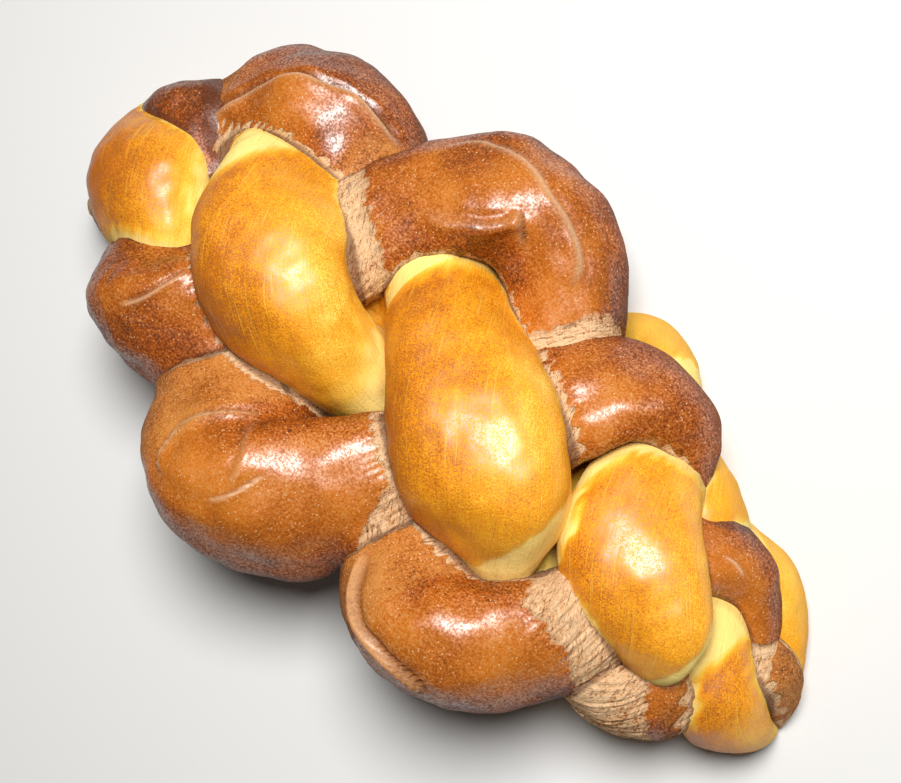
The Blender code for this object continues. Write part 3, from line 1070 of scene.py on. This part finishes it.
def cocoa_crust():
    """Egg-washed cocoa crust: glossy red-brown with pale grains showing through on the crown, tan and
    dull where the wash was thin, and pale cracked fibres of stretched dough where it missed."""
    colours = bpy.context.scene.crust_colours
    recipe = Recipe("cocoa crust")
    ragged = recipe.noise(5.0 * MM, 3.0, 0.6) - 0.5
    tatters = recipe.noise(1.2 * MM, 2.0, 0.6) - 0.5
    reach = recipe.attribute("edge") + ragged * 0.7 + tatters * 0.14
    wash = recipe.ease(reach, 0.44, 0.56)
    rim = recipe.ease(reach, 0.28, 0.42) * (1 - recipe.ease(reach, 0.44, 0.54))
    torn = 1 - recipe.ease(recipe.attribute("crease") + ragged * 8.0, 5.0, 18.0)
    broad = recipe.noise(55 * MM, 1.0, 0.5) - 0.5
    clouds = recipe.noise(18 * MM, 3.0, 0.55) - 0.5
    mottle = recipe.noise(1.6 * MM, 2.0, 0.6) - 0.5
    grit = recipe.noise(0.75 * MM, 2.0, 0.7) - 0.5
    fibres = recipe.noise(1.0, 3.0, 0.7, recipe.stretched(4.5, 0.6)) - 0.5
    wrinkles = recipe.noise(1.0, 3.0, 0.65, recipe.stretched(1.0, 5.0), 0.8) - 0.5
    cracks = recipe.ease(recipe.noise(1.0, 3.0, 0.7, recipe.stretched(1.6, 6.0), 1.0), 0.58, 0.66)
    shine = recipe.ease(recipe.attribute("shine") + mottle * 0.5 + fibres * 0.4, 0.2, 0.8)
    dull = 1 - shine
    # Painted shade: the tone rises with how much the skin faces up, so the lower flanks come out darker, and it
    # falls on the lobes listed as darker, partly as painted shade; clouds, mottle, grit and the dull fibres are
    # the crust's own uneven colour.
    tone = 0.17 + recipe.attribute("upper") * 0.46 - recipe.attribute("browner") * 0.4
    tone = tone + clouds * 0.9 + mottle * 0.7 + grit * 2.1 + dull * (fibres * 0.5 + wrinkles * 0.5)
    stops = [
        (0.0, colours.umber),
        (0.30, colours.cocoa_dark),
        (0.58, colours.cocoa),
        (0.92, colours.cocoa_tan),
    ]
    glazed = recipe.ramp(tone, stops)
    # Painted light: the glazed crust turns golden where it faces up, as if lit from above, in broad random
    # patches, and less so on the lobes listed as darker.
    golden_and_toplit = recipe.attribute("upper") - recipe.attribute("browner") * 0.8
    golden_and_toplit = recipe.ease(golden_and_toplit + broad * 1.2 + clouds * 0.8, 0.45, 1.05)
    glazed = recipe.mix(golden_and_toplit * 0.55, glazed, colours.cocoa_gold)
    worn = (0.45 + grit * 1.4 + fibres * 1.2 + wrinkles * 0.8 + clouds * 1.6) * dull
    glazed = recipe.mix(worn, glazed, colours.cocoa_tan)
    specks = 1 - recipe.ease(recipe.cells(1.4 * MM), 0.10, 0.24)
    grains = specks * recipe.ease(recipe.noise(3 * MM, 3.0), 0.40, 0.58)
    glazed = recipe.mix(grains * 0.8, glazed, colours.cocoa_pale)
    weave = 0.66 + clouds * 0.5 + fibres * 0.9 + grit * 1.2 + mottle * 0.5 + wrinkles * 1.5
    stops = [
        (0.0, colours.umber),
        (0.28, colours.cocoa_dark),
        (0.52, colours.cocoa_dough),
        (0.86, colours.cocoa_pale),
    ]
    bare = recipe.ramp(weave + torn * 0.1, stops)
    bare = recipe.mix(cracks * (0.15 + torn * 0.30), bare, colours.umber)
    crust = recipe.mix(wash, bare, glazed)
    crust = recipe.mix(rim * 0.22, crust, colours.umber)
    # The lips of the folds: paler stretched dough with a painted highlight along the ridge.
    crust = recipe.mix(recipe.attribute("pale"), crust, colours.cocoa_pale)
    # Painted shade in the creases of the folds.
    crust = recipe.mix(recipe.attribute("dark"), crust, colours.umber)
    # Painted shade: the crust is mixed up to 0.7 of the way towards umber close to the creases where the ropes
    # meet, with a ragged border.
    painted_crease_shade = 1 - recipe.ease(recipe.attribute("crease") + tatters * 1.5, -0.8, 1.2)
    crust = recipe.mix(painted_crease_shade * 0.7, crust, colours.umber)
    uncovered = 1 - wash * (0.65 + shine * 0.35)
    height = grit * 0.8 + mottle * 0.7 + (fibres * 1.5 + wrinkles * 2.2 - cracks * 1.0) * uncovered
    recipe.bump(height - rim * 0.6, 0.28 * MM)
    gloss = wash * (0.15 + shine * 0.85)
    glint = recipe.ease(grit + mottle * 0.4, -0.12, 0.12, 0.25, 1.0)
    crown = recipe.ease(recipe.attribute("upper"), 0.05, 0.65, 0.1, 1.0)
    return recipe.finish(
        Base_Color=crust,
        Roughness=0.88 - gloss * 0.3,
        Coat_Weight=gloss * glint * crown,
        Coat_Roughness=0.36,
        Coat_IOR=1.9,
        Specular_IOR_Level=0.1,
    )


def floor_finish():
    """Pale matt plaster with faint clouding."""
    settings = bpy.context.scene.stage_settings
    recipe = Recipe("floor")
    clouds = recipe.noise(400 * MM, 3.0)
    darker = tuple(0.94 * part for part in settings.floor_colour)
    colour = recipe.mix(clouds, settings.floor_colour, darker)
    return recipe.finish(Base_Color=colour, Roughness=0.85)


# --------------------------------------------------------------------------------------------------- stage


def floor_piece(settings):
    """A floor that lies flat under the loaf and sweeps up into a wall far behind it: its height grows as
    the cube of the distance past the flat part."""
    along, across = np.meshgrid(np.linspace(-6, 6, 61), np.linspace(-6, 6, 61), indexing="ij")
    away = np.hypot(along, across)
    height = 0.06 * np.maximum(away - 3.0, 0) ** 3
    points = np.stack([along, across, height], axis=-1).reshape(-1, 3)
    grid = np.arange(61 * 61).reshape(61, 61)
    faces = np.stack([grid[:-1, :-1], grid[1:, :-1], grid[1:, 1:], grid[:-1, 1:]], axis=-1)
    mesh = bpy.data.meshes.new("floor")
    mesh.from_pydata(points.tolist(), [], faces.reshape(-1, 4).tolist())
    mesh.shade_smooth()
    mesh.materials.append(floor_finish())
    floor = bpy.data.objects.new("floor", mesh)
    bpy.context.scene.collection.objects.link(floor)
    floor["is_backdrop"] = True
    return floor


def aim(place, target, roll=0.0):
    """The placing of a lamp or camera that looks from place to target, with the loaf's length pointing
    down its picture before it is rolled."""
    back = (Vector(place) - Vector(target)).normalized()
    up = Vector((-1.0, 0.0, 0.0))
    up = (up - back * up.dot(back)).normalized()
    right = up.cross(back)
    turned_right = right * math.cos(roll) + up * math.sin(roll)
    turned_up = up * math.cos(roll) - right * math.sin(roll)
    axes = Matrix((turned_right, turned_up, back)).transposed().to_4x4()
    return Matrix.Translation(place) @ axes


def lamp(name, place, target, size, power, colour=(1.0, 1.0, 1.0)):
    """A round soft light."""
    light = bpy.data.lights.new(name, "AREA")
    light.shape = "DISK"
    light.size = size
    light.energy = power
    light.color = colour
    holder = bpy.data.objects.new(name, light)
    bpy.context.scene.collection.objects.link(holder)
    holder.matrix_world = aim(place, target)
    return holder


def room_light(strength):
    """Even light from all round."""
    world = bpy.data.worlds.new("room")
    world.use_nodes = True
    background = world.node_tree.nodes["Background"]
    background.inputs["Color"].default_value = (1.0, 0.98, 0.95, 1.0)
    background.inputs["Strength"].default_value = strength
    bpy.context.scene.world = world


# ----------------------------------------------------------------------------------------------- operators


class LOAF_OT_plain_ropes(Operator):
    """Make the two plain ropes of dough, with their egg-washed crust"""

    bl_idname = "loaf.plain_ropes"
    bl_label = "Plain Ropes"

    def execute(self, context):
        material = plain_crust()
        rope_piece("plain_rope_first", "plain", 0, 0.0, material)
        rope_piece("plain_rope_second", "plain", 1, 0.05 * MM, material)
        return {"FINISHED"}


class LOAF_OT_cocoa_ropes(Operator):
    """Make the two cocoa ropes of dough, with their glazed crust and torn skirts"""

    bl_idname = "loaf.cocoa_ropes"
    bl_label = "Cocoa Ropes"

    def execute(self, context):
        material = cocoa_crust()
        rope_piece("cocoa_rope_first", "cocoa", 0, 0.2 * MM, material)
        rope_piece("cocoa_rope_second", "cocoa", 1, 0.25 * MM, material)
        return {"FINISHED"}


class LOAF_OT_stage(Operator):
    """Make the floor, the lights and the camera"""

    bl_idname = "loaf.stage"
    bl_label = "Stage"

    def execute(self, context):
        scene = context.scene
        settings = scene.stage_settings
        floor_piece(settings)
        room_light(settings.room_strength)
        lamp("key", settings.key_place, (0, 0, 0.05), settings.key_size, settings.key_power)
        camera = bpy.data.cameras.new("camera")
        camera.lens = settings.lens
        camera.clip_start = 0.01
        holder = bpy.data.objects.new("camera", camera)
        scene.collection.objects.link(holder)
        holder.matrix_world = aim(settings.camera_place, settings.camera_target, settings.camera_roll)
        scene.camera = holder
        scene.view_settings.view_transform = "Standard"
        return {"FINISHED"}


class LOAF_PT_braided_loaf(Panel):
    """Lists the steps that make the loaf, and its sizes and colours"""

    bl_idname = "LOAF_PT_braided_loaf"
    bl_label = "Braided Loaf"
    bl_space_type = "VIEW_3D"
    bl_region_type = "UI"
    bl_category = "Braided Loaf"

    def draw(self, context):
        for operator in OPERATORS:
            self.layout.operator(operator.bl_idname)
        for name in SETTINGS:
            box = self.layout.box()
            group = getattr(context.scene, name)
            for key in group.__annotations__:
                box.prop(group, key)


OPERATORS = (LOAF_OT_plain_ropes, LOAF_OT_cocoa_ropes, LOAF_OT_stage)
SETTINGS = {
    "braid_sizes": BraidSizes,
    "rope_sizes": RopeSizes,
    "crust_colours": CrustColours,
    "stage_settings": StageSettings,
}


def register():
    for group in SETTINGS.values():
        bpy.utils.register_class(group)
    for name, group in SETTINGS.items():
        setattr(bpy.types.Scene, name, PointerProperty(type=group))
    for operator in OPERATORS:
        bpy.utils.register_class(operator)
    bpy.utils.register_class(LOAF_PT_braided_loaf)


def unregister():
    bpy.utils.unregister_class(LOAF_PT_braided_loaf)
    for operator in reversed(OPERATORS):
        bpy.utils.unregister_class(operator)
    for name, group in SETTINGS.items():
        delattr(bpy.types.Scene, name)
        bpy.utils.unregister_class(group)


def main():
    """Makes the loaf and its stage."""
    register()
    bpy.ops.loaf.plain_ropes()
    bpy.ops.loaf.cocoa_ropes()
    bpy.ops.loaf.stage()
    boxes = {"solid": SOLID_BOX, "dressed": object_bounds()}
    boxes = {name: [list(corner) for corner in box] for name, box in boxes.items()}


if __name__ == "__main__":
    main()
